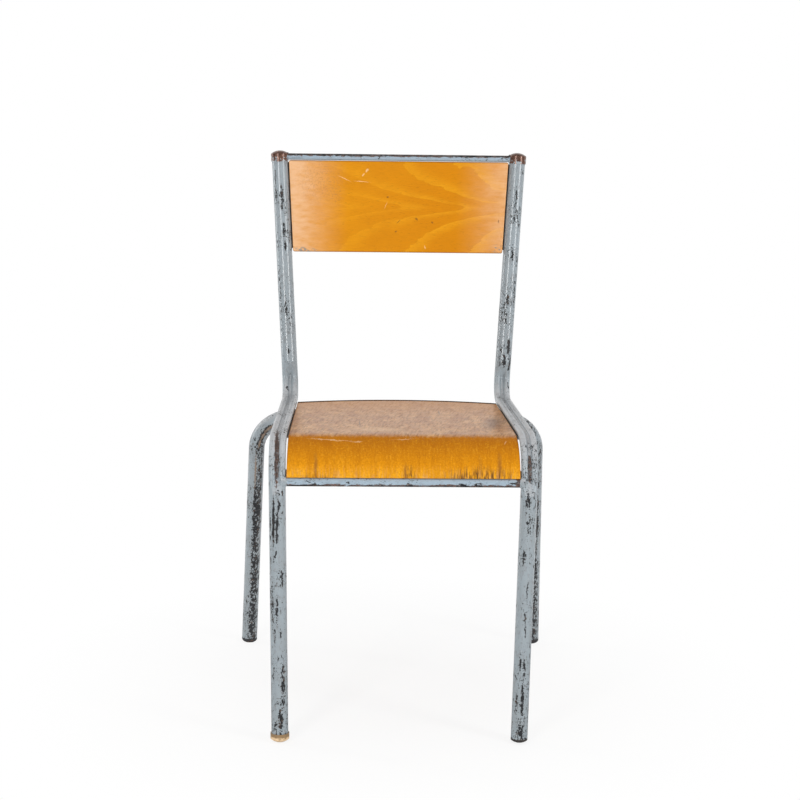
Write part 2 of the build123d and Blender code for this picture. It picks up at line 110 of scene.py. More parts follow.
paper = bpy.data.materials.new("white_paper_sweep")
paper.use_nodes = True
tree = paper.node_tree
tree.nodes.clear()
place = add_node(tree, "TexCoord").node.outputs["Object"]
away = add_node(tree, "VectorMath", place, operation="LENGTH")
fade = add_node(tree, "MapRange", away, 0.15, 0.6, 0.75, 1.0)
depth = add_node(tree, "SeparateXYZ", place).node.outputs["Y"]
mirrored = add_node(tree, "MapRange", depth, -0.4, 0.5, 0.08, 1.0)
ray = add_node(tree, "LightPath").node.outputs
sheet = add_node(tree, "BsdfDiffuse", "#FBFBFB")
glow = add_node(tree, "Emission", white, 1.0)
seen = add_node(tree, "MixShader", fade, sheet, glow)
reflected = add_node(tree, "Emission", white, mirrored)
mix = add_node(tree, "MixShader", ray["Is Camera Ray"], sheet, seen)
mix = add_node(tree, "MixShader", ray["Is Glossy Ray"], mix, reflected)
add_node(tree, "OutputMaterial", mix)
floor.data.materials.append(paper)

world = bpy.data.worlds.new("studio")
bpy.context.scene.world = world
world.use_nodes = True
tree = world.node_tree
tree.nodes.clear()
direction = add_node(tree, "TexCoord").node.outputs["Generated"]
aside, backwards, upwards = add_node(tree, "SeparateXYZ", direction).node.outputs
behind = add_node(tree, "MapRange", backwards, -0.1, 0.3)
low = add_node(tree, "MapRange", upwards, 0.85, 0.55)
sweep = add_node(tree, "Math", behind, low, operation="MULTIPLY")
mirrored = add_node(tree, "MapRange", sweep, 0.0, 1.0, 0.10, 1.0)
ceiling = add_node(tree, "MapRange", upwards, 0.0, 1.0, 0.52, 0.85)
aside = add_node(tree, "Math", aside, operation="ABSOLUTE")
walls = add_node(tree, "MapRange", aside, 0.35, 1.0, 1.0, 0.72)
level = add_node(tree, "Math", ceiling, walls, operation="MULTIPLY")
ray = add_node(tree, "LightPath").node.outputs
room = add_node(tree, "Background", white, level)
glossy = add_node(tree, "Background", white, mirrored)
backdrop = add_node(tree, "Background", white, 1.0)
mix = add_node(tree, "MixShader", ray["Is Glossy Ray"], room, glossy)
mix = add_node(tree, "MixShader", ray["Is Camera Ray"], mix, backdrop)
add_node(tree, "OutputWorld", mix)


def softbox(name, place, target, width, height, watts):
    """A rectangular area lamp that faces a point."""
    data = bpy.data.lights.new(name, "AREA")
    data.shape = "RECTANGLE"
    data.size = width
    data.size_y = height
    data.energy = watts
    lamp = bpy.data.objects.new(name, data)
    bpy.context.scene.collection.objects.link(lamp)
    lamp.location = place
    lamp.rotation_euler = (Vector(target) - Vector(place)).to_track_quat("-Z", "Y").to_euler()
    return lamp


chair_middle = (0, 0, 0.45)
softbox("softbox_left", (-1.75, -3.4, 1.2), chair_middle, 0.8, 2.2, 60)
softbox("softbox_right", (3.0, -2.3, 1.2), chair_middle, 0.8, 2.2, 56)
softbox("rim_strip_left", (-2.6, 0.9, 0.8), chair_middle, 0.35, 1.6, 12)

# %% [markdown]
# ## Patches, marks and coats
# Millimetres are the unit of every pattern below. Patches are noise whose lumps have a given size, drawn out
# along one axis if need be and cut between two levels. Half of this chair's character is marks that sit in
# one place: a scratch, a chip, a worn corner. Each mark is an ellipsoid that a Mapping node moves, turns and
# stretches into a unit ball. Inside it the mark is full at the middle and fades to nothing at the skin. A
# finish is then built as a painter would build it, coat over coat, each with the masks that say where it
# lies.

# %% Patches, marks and coats
upright = (0.0, 0.0, 0.0)
round_patch = (1.0, 1.0, 1.0)


def millimetres(tree):
    """Object coordinates in millimetres."""
    place = add_node(tree, "TexCoord").node.outputs["Object"]
    return add_node(tree, "VectorMath", place, 1000.0, operation="SCALE")


def patches(tree, place, size, levels=None, shape=round_patch, detail=3.0, roughness=0.5, distortion=0.0):
    """Uneven patches of about this many millimetres, times a shape along each axis.

    Levels say where in the noise they start and where they are full, then what they give there if that
    isn't 0 and 1. Without levels it is the noise as it comes."""
    squeeze = [1.0 / (size * factor) for factor in shape]
    squeezed = add_node(tree, "VectorMath", place, squeeze, operation="MULTIPLY")
    lumps = add_node(tree, "TexNoise", squeezed, 1.0, detail, roughness, named={"Distortion": distortion})
    return add_node(tree, "MapRange", lumps, *levels) if levels else lumps


def mark(tree, place, centre, reach, turn=upright, core=0.0):
    """1 within the core of an ellipsoid, fading to 0 at its skin; the turn is in degrees."""
    turn = [math.radians(angle) for angle in turn]
    ball = add_node(tree, "Mapping", place, centre, turn, reach, vector_type="TEXTURE")
    away = add_node(tree, "VectorMath", ball, operation="LENGTH")
    return add_node(tree, "MapRange", away, 1.0, core)


def marks(tree, place, places):
    """The strongest of several marks, each a centre, a reach, a turn and a core."""
    strongest = 0.0
    for each in places:
        strongest = add_node(tree, "Math", strongest, mark(tree, place, *each), operation="MAXIMUM")
    return strongest


def coat(tree, colour, tint, *masks):
    """Lays a tint over a colour where all the masks are 1. A mask is a pattern or a plain strength."""
    cover = masks[0]
    for mask in masks[1:]:
        cover = add_node(tree, "Math", cover, mask, operation="MULTIPLY")
    return add_node(tree, "Mix", cover, colour, tint, data_type="RGBA")


def jitter(tree, place, size, amount):
    """A place pushed about by noise, which roughens the edges of marks."""
    squeezed = add_node(tree, "VectorMath", place, 1.0 / size, operation="SCALE")
    wander = add_node(tree, "TexNoise", squeezed, 1.0, 2.0).node.outputs["Color"]
    centred = add_node(tree, "VectorMath", wander, (0.5, 0.5, 0.5), operation="SUBTRACT")
    push = add_node(tree, "VectorMath", centred, amount, operation="SCALE")
    return add_node(tree, "VectorMath", place, push, operation="ADD")


def new_material(name):
    """An empty node material and its tree."""
    material = bpy.data.materials.new(name)
    material.use_nodes = True
    material.node_tree.nodes.clear()
    return material, material.node_tree


def dress(material, *nodes):
    """Puts one material on the whole of each named piece."""
    for name in nodes:
        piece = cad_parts[name]
        piece.data.materials.clear()
        piece.data.materials.append(material)


print("helpers:", [helper.__name__ for helper in (millimetres, patches, mark, marks, coat, jitter, dress)])

# %% [markdown]
# ## Stove enamel on steel tube, worn
# The frame was sprayed blue-grey and baked. Stove enamel is a hard, semi-gloss skin about 0.1 mm thick. It
# doesn't rub through, it chips. So the wear is sharp-edged flakes that show black oxidised steel, with rust
# in the old ones. Round each flake a pale rim is painted where the layer's edge would catch the light: a
# painted highlight. The flakes are long along the tube because chairs slide past each other when they are
# stacked. Two noises make them, a long one and a fine one, cut at a threshold, and whatever raises the noise
# locally makes a place more worn. Long scratches are marks that raise it a lot. The pressed groove can't be
# wiped clean, so rust stays in it. Wherever ambient occlusion finds a crevice, the paint turns a darker grey,
# which is painted shade. Old paint chalks where light falls on it from above, so what faces up is more matt.
# It is also painted paler there, partly as chalk and partly as painted light from above. Where other chairs
# still rub, the steel is bare and burnished to a brownish shine.

# %% Flakes
chip_edge = (0.655, 0.668)
# levels of the painted highlight, a pale rim round each flake where its edge would catch the light
painted_rim_highlight_edge = (0.638, 0.652)


def chipping(tree, place, ragged, along, wear, worn_places, foot_wear):
    """How near each place is to chipping: flakes of two kinds, raised wherever the tube is more worn."""
    # wear comes in patches three fingers wide, at the feet, at the tubes' ends and at the chosen places
    height = add_node(tree, "SeparateXYZ", place).node.outputs["Z"]
    shift = patches(tree, place, 45.0, (0.3, 0.7, wear - 0.06, wear + 0.06), detail=1.0)
    foot = add_node(tree, "MapRange", height, 90.0, 10.0, 0.0, foot_wear)
    tube_end = add_node(tree, "MapRange", height, 7.5, 4.5, 0.0, 0.3)
    shift = add_node(tree, "Math", shift, foot, operation="ADD")
    shift = add_node(tree, "Math", shift, tube_end, operation="ADD")
    marked = 0.0
    for centre, reach, turn, extra in worn_places:
        near = mark(tree, ragged, centre, reach, turn, 0.35)
        marked = add_node(tree, "Math", near, extra, marked, operation="MULTIPLY_ADD")
    broken = patches(tree, place, 3.0, (0.38, 0.62, 0.25, 1.1), along, roughness=0.6)
    shift = add_node(tree, "Math", marked, broken, shift, operation="MULTIPLY_ADD")

    long_flakes = patches(tree, place, 3.6, shape=along, detail=5.0, roughness=0.62, distortion=0.4)
    fine_flakes = patches(tree, place, 2.4, detail=4.0, roughness=0.62, distortion=0.3)
    flakes = add_node(tree, "Math", long_flakes, fine_flakes, operation="MAXIMUM")
    return add_node(tree, "Math", flakes, shift, operation="ADD")


print("paint is chipped above", chip_edge[1], "and shows a pale rim from", painted_rim_highlight_edge[0])

# %% Paint and rust
frame_paint = ("#98A3AA", "#8D9396")


def aged_paint(tree, place, paint, chalk_and_painted_top_light, chalk_and_painted_top_light_strength):
    """The paint, clouded and speckled by age, chalky and painted lighter on top, with painted shade in
    crevices.
    """
    cloud = patches(tree, place, 24.0, detail=4.0)
    specks = patches(tree, place, 1.6, (0.62, 0.72, 0.0, 0.35), detail=2.0)
    # painted shade: the paint turns a darker grey wherever ambient occlusion finds a crevice
    crevice = add_node(tree, "AmbientOcclusion", named={"Distance": 0.004}, samples=8).node.outputs["AO"]
    painted_crevice_shade = add_node(tree, "MapRange", crevice, 0.70, 0.30, 0.0, 0.4)
    colour = coat(tree, *paint, cloud)
    colour = coat(tree, colour, "#6F716F", specks)
    # paler where the paint faces up: partly chalk, partly painted light from above
    colour = coat(tree, colour, "#BFC0C2", chalk_and_painted_top_light, chalk_and_painted_top_light_strength)
    return coat(tree, colour, "#5F6163", painted_crevice_shade)


def rusted(tree, place, ragged, colour, along, rust_places):
    """Lays blotchy rust over a colour at the given places."""
    rusting = marks(tree, ragged, [(centre, reach, upright, 0.6) for centre, reach in rust_places])
    blotches = patches(tree, place, 4.0, (0.30, 0.60, -0.6, 0.4), along, detail=4.0)
    rusting = add_node(tree, "Math", rusting, blotches, operation="ADD")
    rusting = add_node(tree, "MapRange", rusting, 0.35, 0.65, 0.0, 0.9)
    rust = coat(tree, "#17100D", "#6B4630", patches(tree, place, 2.0, (0.35, 0.65), along))
    return coat(tree, colour, rust, rusting)


print("sound paint lies between", *frame_paint)


# %% Enamel
def enamel(
    name, along, wear, worn_places=(), foot_wear=0.0, rust_places=(), bare_places=(), paint=frame_paint,
    chalk_and_painted_top_light_strength=0.7,
):
    """Worn enamel. along stretches the flakes; worn_places are (centre, reach, turn, extra wear),
    rust_places are (centre, reach) and bare_places (centre, reach, turn)."""
    material, tree = new_material(name)
    place = millimetres(tree)
    ragged = jitter(tree, place, 3.0, 3.0)
    level = chipping(tree, place, ragged, along, wear, worn_places, foot_wear)
    chips = add_node(tree, "MapRange", level, *chip_edge)
    painted_rim_highlight = add_node(tree, "MapRange", level, *painted_rim_highlight_edge)
    painted_rim_highlight = add_node(tree, "Math", painted_rim_highlight, chips, operation="SUBTRACT")

    facing = add_node(tree, "TexCoord").node.outputs["Normal"]
    facing_up = add_node(tree, "SeparateXYZ", facing).node.outputs["Z"]
    # 1 where the tube faces up: for chalk, and for painted light from above
    chalk_and_painted_top_light = add_node(tree, "MapRange", facing_up, 0.25, 0.75)
    colour = aged_paint(tree, place, paint, chalk_and_painted_top_light, chalk_and_painted_top_light_strength)
    colour = rusted(tree, place, ragged, colour, along, rust_places)
    # painted highlight: a pale rim round each flake, where the layer's edge would catch the light
    colour = coat(tree, colour, "#C3C9CA", painted_rim_highlight, 0.55)

    # inside a flake: black oxide, rusty in the old ones, and bare steel where it is still being rubbed
    old = patches(tree, place, 6.0, (0.58, 0.68))
    steel = coat(tree, "#232427", "#4A3A30", old)
    colour = coat(tree, colour, steel, chips)
    bare = marks(tree, ragged, [(centre, reach, turn, 0.4) for centre, reach, turn in bare_places])
    colour = coat(tree, colour, "#8A7766", bare, 0.9)

    # oxide and chalk are duller than sound paint; a flake's edge is a step, twice its real depth to show
    oxide_dull = add_node(tree, "MapRange", chips, 0.0, 1.0, 0.18, 0.55)
    chalk_dull = add_node(tree, "MapRange", chalk_and_painted_top_light, 0.0, 1.0, 0.18, 0.36)
    roughness = add_node(tree, "Math", oxide_dull, chalk_dull, operation="MAXIMUM")
    step = add_node(tree, "Bump", named={"Height": chips, "Distance": 0.0002}, invert=True)
    finish = {"Base Color": colour, "Roughness": roughness, "Normal": step}
    add_node(tree, "OutputMaterial", add_node(tree, "BsdfPrincipled", named=finish))
    return material


# the flat steel is nearly out of sight, so it is the plain case, with no marks put in chosen places
strip_enamel = enamel("stove_enamel_flat_steel", along=round_patch, wear=0.02)
dress(strip_enamel, "seat_strip_left", "seat_strip_right", "front_tab_left", "front_tab_right")
dress(strip_enamel, "back_strip_left", "back_strip_right", "crossbar_welds")
print("nodes in the plain enamel:", len(strip_enamel.node_tree.nodes))

# %% [markdown]
# ## Where the frame is worn
# A worn place on a leg or post is given as it would be pointed out on the chair: on which tube, how far left
# or right of its middle, how high above the floor, how long and how wide. The tube's line turns that into a
# point on its front. The rear legs have lost a whole stripe of paint, where the next chair's legs have
# rubbed, and the hoop's shoulders carry a scar along the bend.

# %% Places on a tube
tube_radius = 12.5
leg_line = (Vector((178.0, -226.8, 0.0)), Vector((185.0, -204.8, 457.0)))
post_line = (Vector((167.5, 150.3, 438.0)), Vector((188.3, 197.3, 824.0)))
rear_leg_line = (Vector((235.3, 228.3, 0.0)), Vector((219.0, 94.3, 416.0)))


def on_front(line, side, offset, height):
    """The point on a tube's front at a height, offset to the viewer's right; side -1 is the left tube."""
    low, high = line
    point = low + (high - low) * ((height - low.z) / (high.z - low.z))
    return Vector((side * point.x + offset, point.y - (tube_radius**2 - offset**2) ** 0.5, height))


def scratch(line, side, offset, low, high, width, extra, drift=0.0):
    """A worn place that runs along a tube from one height to another; drift moves its upper end sideways."""
    start = on_front(line, side, offset, low)
    end = on_front(line, side, offset + drift, high)
    along = end - start
    tilt = upright if along.length < 1e-6 else along.to_track_quat("Z", "Y").to_euler()
    turn = [math.degrees(angle) for angle in tilt]
    return (start + end) / 2, (width, width, along.length / 2 + width), turn, extra


left, right = -1, 1
print("front of the left leg, 300 mm up:", [round(v, 1) for v in on_front(leg_line, left, 0.0, 300.0)])

# %% Scratches on the side tubes
left_scratches = [
    # leg, from the top down
    scratch(leg_line, left, -6.6, 285, 388, 2.6, 0.36, 1.4),
    scratch(leg_line, left, -10.6, 250, 372, 2.6, 0.22),
    scratch(leg_line, left, -2.6, 298, 362, 2.4, 0.34, 3.4),
    scratch(leg_line, left, -6.9, 276, 296, 2.2, 0.32, 5.5),
    scratch(leg_line, left, 1.0, 370, 394, 5.4, 0.26, 1.0),
    scratch(leg_line, left, 8.0, 374, 390, 2.6, 0.25),
    scratch(leg_line, left, 2.5, 356, 369, 3.2, 0.26),
    scratch(leg_line, left, 6.2, 232, 262, 2.0, 0.24),
    scratch(leg_line, left, -8.8, 120, 256, 3.4, 0.10),
    scratch(leg_line, left, -2.6, 178, 232, 2.8, 0.26, 0.8),
    scratch(leg_line, left, -5.6, 152, 178, 2.2, 0.30),
    scratch(leg_line, left, 3.5, 160, 176, 2.0, 0.22),
    scratch(leg_line, left, -8.5, 84, 120, 2.6, 0.20),
    scratch(leg_line, left, 5.5, 52, 122, 5.4, 0.15),
    scratch(leg_line, left, 1.5, 14, 60, 4.2, 0.32),
    scratch(leg_line, left, -6.0, 14, 34, 4.0, 0.16),
    # post, from the top down
    scratch(post_line, left, 0.6, 728, 776, 3.6, 0.22),
    scratch(post_line, left, 1.6, 690, 716, 3.4, 0.24),
    scratch(post_line, left, 2.5, 672, 684, 3.0, 0.28),
    scratch(post_line, left, -8.6, 740, 806, 3.4, 0.20),
    scratch(post_line, left, -9.6, 540, 700, 3.2, 0.16),
    scratch(post_line, left, -1.0, 560, 600, 3.0, 0.22),
    scratch(post_line, left, 0.4, 500, 524, 2.6, 0.22),
    scratch(post_line, left, 2.6, 482, 497, 2.2, 0.36, -6.0),
    scratch(post_line, left, 0.8, 446, 474, 3.2, 0.28),
    scratch(post_line, left, -5.0, 446, 460, 5.0, 0.20),
]
right_scratches = [
    # leg, from the top down
    scratch(leg_line, right, 0.6, 386, 402, 4.4, 0.26),
    scratch(leg_line, right, -2.4, 360, 388, 4.4, 0.18),
    scratch(leg_line, right, 0.5, 312, 366, 9.0, 0.11),
    scratch(leg_line, right, -4.6, 278, 300, 3.0, 0.26),
    scratch(leg_line, right, 1.0, 218, 256, 2.0, 0.24, 2.0),
    scratch(leg_line, right, 2.8, 160, 206, 3.0, 0.26, -3.0),
    scratch(leg_line, right, -3.4, 114, 134, 1.9, 0.34),
    scratch(leg_line, right, 2.2, 110, 130, 3.6, 0.22),
    scratch(leg_line, right, 1.2, 42, 96, 3.6, 0.34),
    scratch(leg_line, right, -7.2, 46, 82, 4.2, 0.20),
    scratch(leg_line, right, 0.5, 12, 40, 7.5, 0.20),
    # post, from the top down
    scratch(post_line, right, 0.8, 740, 776, 2.6, 0.28),
    scratch(post_line, right, 0.2, 716, 726, 2.6, 0.26),
    scratch(post_line, right, 1.5, 650, 686, 3.4, 0.22),
    scratch(post_line, right, 9.4, 560, 690, 3.2, 0.14),
    scratch(post_line, right, 5.7, 508, 534, 3.4, 0.34),
    scratch(post_line, right, 0.4, 488, 508, 3.4, 0.32),
    scratch(post_line, right, 0.2, 452, 484, 3.6, 0.28),
    scratch(post_line, right, 9.8, 436, 520, 3.2, 0.24),
]
left_groove = [(Vector((-184.8, -196.0, 434.0)), (3.9, 64.0, 60.0))]
right_groove = [(Vector((184.0, -208.0, 418.0)), (3.4, 40.0, 26.0))]
along_z = (1.0, 1.0, 2.4)  # flakes are 2.4 times as long along the tube as across it
tube = {"along": along_z, "foot_wear": 0.05}
left_enamel = enamel(
    "stove_enamel_left_tube", wear=0.03, worn_places=left_scratches, rust_places=left_groove, **tube
)
right_enamel = enamel(
    "stove_enamel_right_tube", wear=0.025, worn_places=right_scratches, rust_places=right_groove, **tube
)
dress(left_enamel, "side_frame_left")
dress(right_enamel, "side_frame_right")
print("scratches on the left and the right tube:", len(left_scratches), len(right_scratches))

# %% Rubbed stripes and shoulders of the hoop
rear_stripes = [
    scratch(rear_leg_line, left, 4.5, -110, 410, 10.0, 0.21),
    scratch(rear_leg_line, left, 1.0, 120, 330, 5.0, 0.12),
    scratch(rear_leg_line, left, 8.5, 200, 400, 5.0, 0.12),
    scratch(rear_leg_line, right, 1.0, -110, 400, 11.0, 0.19, -2.0),
    scratch(rear_leg_line, right, 3.0, 140, 350, 5.0, 0.12),
]
# the hoop's shoulders: four places along the front of each bend, from the crosspiece down to the leg
shoulder_bend = [
    (184.0, 84.0, 409.5, 22.0),
    (201.0, 86.0, 400.0, 42.0),
    (211.0, 89.0, 386.0, 62.0),
    (216.5, 93.0, 372.0, 76.0),
]
shoulder_places = [
    (Vector((side * across, deep, up)), (0.0, side * lean, 0.0))
    for side in (left, right)
    for across, deep, up, lean in shoulder_bend
]
shoulder_scars = [(centre, (14.0, 12.0, 5.6), turn, 0.34) for centre, turn in shoulder_places]
shoulder_steel = [(centre, (13.0, 12.0, 2.3), turn) for centre, turn in shoulder_places]
rubbed_line = scratch(rear_leg_line, left, -0.5, 285, 362, 1.9, 0.0)
shoulder_steel.append(rubbed_line[:3])
hoop_wear = rear_stripes + shoulder_scars
hoop_enamel = enamel(
    "stove_enamel_rear_hoop", along_z, wear=0.05, worn_places=hoop_wear, foot_wear=0.03,
    bare_places=shoulder_steel,
)
dress(hoop_enamel, "rear_leg_hoop", "hoop_welds")
print("worn and bare places on the hoop:", len(hoop_wear), len(shoulder_steel))

# %% [markdown]
# ## Crossbar and top rail
# The rods are worn along one line each: the crossbar underneath, where shoes scrape it, and the top rail
# along its upper edge, where the chair is lifted and leant on walls. A worn line is a long thin mark.

# %% Rods
crossbar_low, crossbar_high = (Vector(corner) * 1000 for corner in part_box("front_crossbar"))
rail_low, rail_high = (Vector(corner) * 1000 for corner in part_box("top_rail"))
crossbar_middle = (crossbar_low + crossbar_high) / 2
rail_middle = (rail_low + rail_high) / 2
under_bar = Vector((0.0, crossbar_low.y + 3.0, crossbar_low.z + 0.8))
on_rail = Vector((0.0, rail_middle.y - 1.5, rail_high.z))
crossbar_marks = [
    (under_bar, (420.0, 6.0, 4.0), upright, 0.20),
    (under_bar + Vector((-140.0, 0.0, 0.0)), (60.0, 6.0, 4.6), upright, 0.16),
    (Vector((-82.0, crossbar_low.y, crossbar_middle.z + 1.0)), (6.0, 5.0, 3.4), (0.0, 25.0, 0.0), 0.30),
    (Vector((86.0, crossbar_low.y, crossbar_middle.z - 2.0)), (9.0, 5.0, 2.4), (0.0, 12.0, 0.0), 0.30),
    (Vector((108.0, crossbar_low.y, crossbar_middle.z - 1.5)), (9.0, 5.0, 2.4), (0.0, -14.0, 0.0), 0.30),
    (Vector((159.0, crossbar_low.y, crossbar_middle.z + 1.0)), (9.0, 5.0, 3.6), upright, 0.28),
]
rail_marks = [
    (on_rail, (420.0, 7.0, 3.2), upright, 0.26),
    (on_rail + Vector((-118.0, 0.0, -1.0)), (40.0, 7.0, 4.4), upright, 0.14),
    (Vector((-31.0, rail_low.y, rail_middle.z)), (1.0, 6.0, 6.0), (0.0, 32.0, 0.0), 0.24),
    (Vector((139.0, rail_low.y, rail_middle.z)), (1.0, 6.0, 6.0), (0.0, 24.0, 0.0), 0.24),
]
crossbar_rust = [
    (crossbar_middle + Vector((172.0, 0.0, 0.0)), (12.0, 12.0, 12.0)),
    (crossbar_middle + Vector((0.0, -4.0, -6.4)), (420.0, 8.0, 6.2)),
]
rail_rust = [(on_rail, (420.0, 8.0, 4.4))]
along_x = (2.4, 1.0, 1.0)
rods = {"along": along_x, "paint": ("#9CADBB", "#93A3AE"), "chalk_and_painted_top_light_strength": 0.1}
crossbar_enamel = enamel(
    "stove_enamel_crossbar", wear=0.01, worn_places=crossbar_marks, rust_places=crossbar_rust, **rods
)
rail_enamel = enamel("stove_enamel_top_rail", wear=0.0, worn_places=rail_marks, rust_places=rail_rust, **rods)
dress(crossbar_enamel, "front_crossbar")
dress(rail_enamel, "top_rail", "top_rail_welds")
print("crossbar middle:", [round(v, 1) for v in crossbar_middle], "mm")

# %% [markdown]
# ## Varnished beech plywood
# The seat and the backrest are beech veneers under an amber varnish that has darkened for decades. Rotary-cut
# beech shows a figure of nested curves, each with one sharp and one soft side, and short dark flecks along
# the grain. The backrest's curves close in on a line that runs level across it: the logarithm of the
# distance from that line, drifting with x, gives such curves, and the fraction of it gives the sharp and the
# soft side. At the ends the varnish is scuffed to a pale haze.

# %% Plywood helpers
ply_thickness = 9.0
veneer = 3.0


def grain(tree, place, colour, stretch):
    """Adds the fibres and flecks of beech, drawn out along the grain, to a colour."""
    # real fibres are 0.2 mm wide and real flecks 0.3 mm, too fine to show, so both are coarser here
    fibre = patches(tree, place, 1.1, (0.35, 0.70, 0.0, 0.30), stretch, roughness=0.6)
    colour = coat(tree, colour, "#B36C06", fibre)
    fleck = patches(tree, place, 0.9, (0.66, 0.74, 0.0, 0.45), [s * 0.6 for s in stretch], detail=1.0)
    return coat(tree, colour, "#7C4A10", fleck)


def plies(tree, depth, colour, edge):
    """Shows the stacked veneers where edge is 1; depth is in millimetres from the lower face."""
    layer = add_node(tree, "Math", depth, veneer, operation="PINGPONG")
    ply = coat(tree, "#8A5426", "#C98A45", add_node(tree, "MapRange", layer, 1.2, 1.8))
    return coat(tree, colour, ply, edge)


print("veneers in the plywood:", round(ply_thickness / veneer))

# %% Marks on the backrest
board_low, board_high = (Vector(corner) * 1000 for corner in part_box("backrest_panel"))
board_centre = (board_low + board_high) / 2
board_turn = (math.radians(-6.94), 0.0, 0.0)
board_face = -ply_thickness / 2
# each mark is a centre on the board's own axes, a reach, a turn and a core
board_scratches = [
    ((-50.0, board_face, 57.0), (2.0, 9.0, 4.2), (0.0, 40.0, 0.0), 0.4),
    ((-56.0, board_face, 50.0), (1.4, 9.0, 3.4), (0.0, 30.0, 0.0), 0.4),
    ((-86.0, board_face, 44.0), (14.0, 9.0, 0.7), (0.0, 24.0, 0.0), 0.2),
    ((-58.0, board_face, 39.5), (16.0, 9.0, 0.6), (0.0, 4.0, 0.0), 0.2),
    ((-20.0, board_face, 2.0), (0.6, 9.0, 8.0), (0.0, 24.0, 0.0), 0.0),
    ((43.0, board_face, -63.0), (1.0, 9.0, 4.0), (0.0, -20.0, 0.0), 0.3),
]
board_dents = [
    ((29.0, board_face, -18.6), (3.2, 9.0, 2.4), (0.0, 30.0, 0.0), 0.4),
    ((54.0, board_face, -24.0), (2.6, 9.0, 1.6), (0.0, 20.0, 0.0), 0.4),
    ((0.5, board_face, -23.0), (0.9, 9.0, 5.0), (0.0, 45.0, 0.0), 0.4),
    ((-3.6, board_face, -38.6), (2.0, 9.0, 1.6), upright, 0.4),
    ((-17.0, board_face, 15.6), (2.0, 9.0, 1.8), upright, 0.4),
    ((159.0, board_face, -21.0), (1.2, 9.0, 3.4), upright, 0.4),
]
board_pepper = [
    ((-124.0, board_face, 40.0), (52.0, 20.0, 42.0), upright, 0.3),
    ((-100.0, board_face, 15.0), (16.0, 20.0, 14.0), upright, 0.3),
]
board_corners = [
    ((-148.0, board_face, -70.0), (24.0, 12.0, 7.0), upright, 0.4),
    ((158.0, board_face, -67.0), (15.0, 12.0, 11.0), upright, 0.3),
    ((-125.0, board_face, 72.0), (14.0, 12.0, 2.5), upright, 0.4),
]
print("backrest centre:", [round(v, 1) for v in board_centre], "mm")

# %% Figure and scuffing
figure_period = 1.1  # how far the level rises from one ring to the next
figure_drift = 90.0  # millimetres along the board over which the level rises by 1


def beech_rings(tree, place, across, up):
    """0 to 1 over each ring of the figure: soft at its start, with a sharp step back to 0 at its end."""
    # half the logarithm of the squared distance from the level line; 40 keeps it finite on the line itself
    squared = add_node(tree, "Math", up, up, 40.0, operation="MULTIPLY_ADD")
    distance = add_node(tree, "Math", squared, math.e, operation="LOGARITHM")
    drift = add_node(tree, "Math", across, figure_drift, operation="DIVIDE")
    level = add_node(tree, "Math", distance, 0.5, drift, operation="MULTIPLY_ADD")
    wave = patches(tree, place, 55.0, (0.2, 0.8, -0.30, 0.30), (1.6, 1.0, 1.0), detail=1.0)
    ripple = patches(tree, place, 7.0, (0.2, 0.8, -0.10, 0.10), (2.5, 1.0, 1.0))
    above_zero = 20.0
    for part in (wave, ripple, above_zero):
        level = add_node(tree, "Math", level, part, operation="ADD")
    ring = add_node(tree, "Math", level, figure_period, operation="DIVIDE")
    return add_node(tree, "Math", ring, operation="FRACT")


def scuffing(tree, place, across):
    """How scuffed the backrest is: sound in the middle, worst at the ends and in the upper right corner."""
    reach = add_node(tree, "Math", across, operation="ABSOLUTE")
    reach = add_node(tree, "Math", across, -0.07, reach, operation="MULTIPLY_ADD")
    worn = add_node(tree, "MapRange", reach, 84.0, 174.0)
    corner = mark(tree, place, (156.0, 0.0, 30.0), (60.0, 40.0, 62.0))
    corner = add_node(tree, "Math", corner, 0.85, operation="MULTIPLY")
    worn = add_node(tree, "Math", worn, corner, operation="MAXIMUM")
    patchy = patches(tree, place, 6.0, (0.3, 0.7, 0.55, 1.4), (3.5, 1.0, 1.0), detail=6.0, roughness=0.7)
    steeper = add_node(tree, "Math", worn, 0.25, operation="ADD")
    for factor in (steeper, patchy, 0.80):
        worn = add_node(tree, "Math", worn, factor, operation="MULTIPLY")
    return worn


print("along one level line the rings are", round(figure_period * figure_drift), "mm long")

# %% Backrest
amber_dark = "#C97C05"
amber_light = "#E09C18"
haze = "#DDAE82"


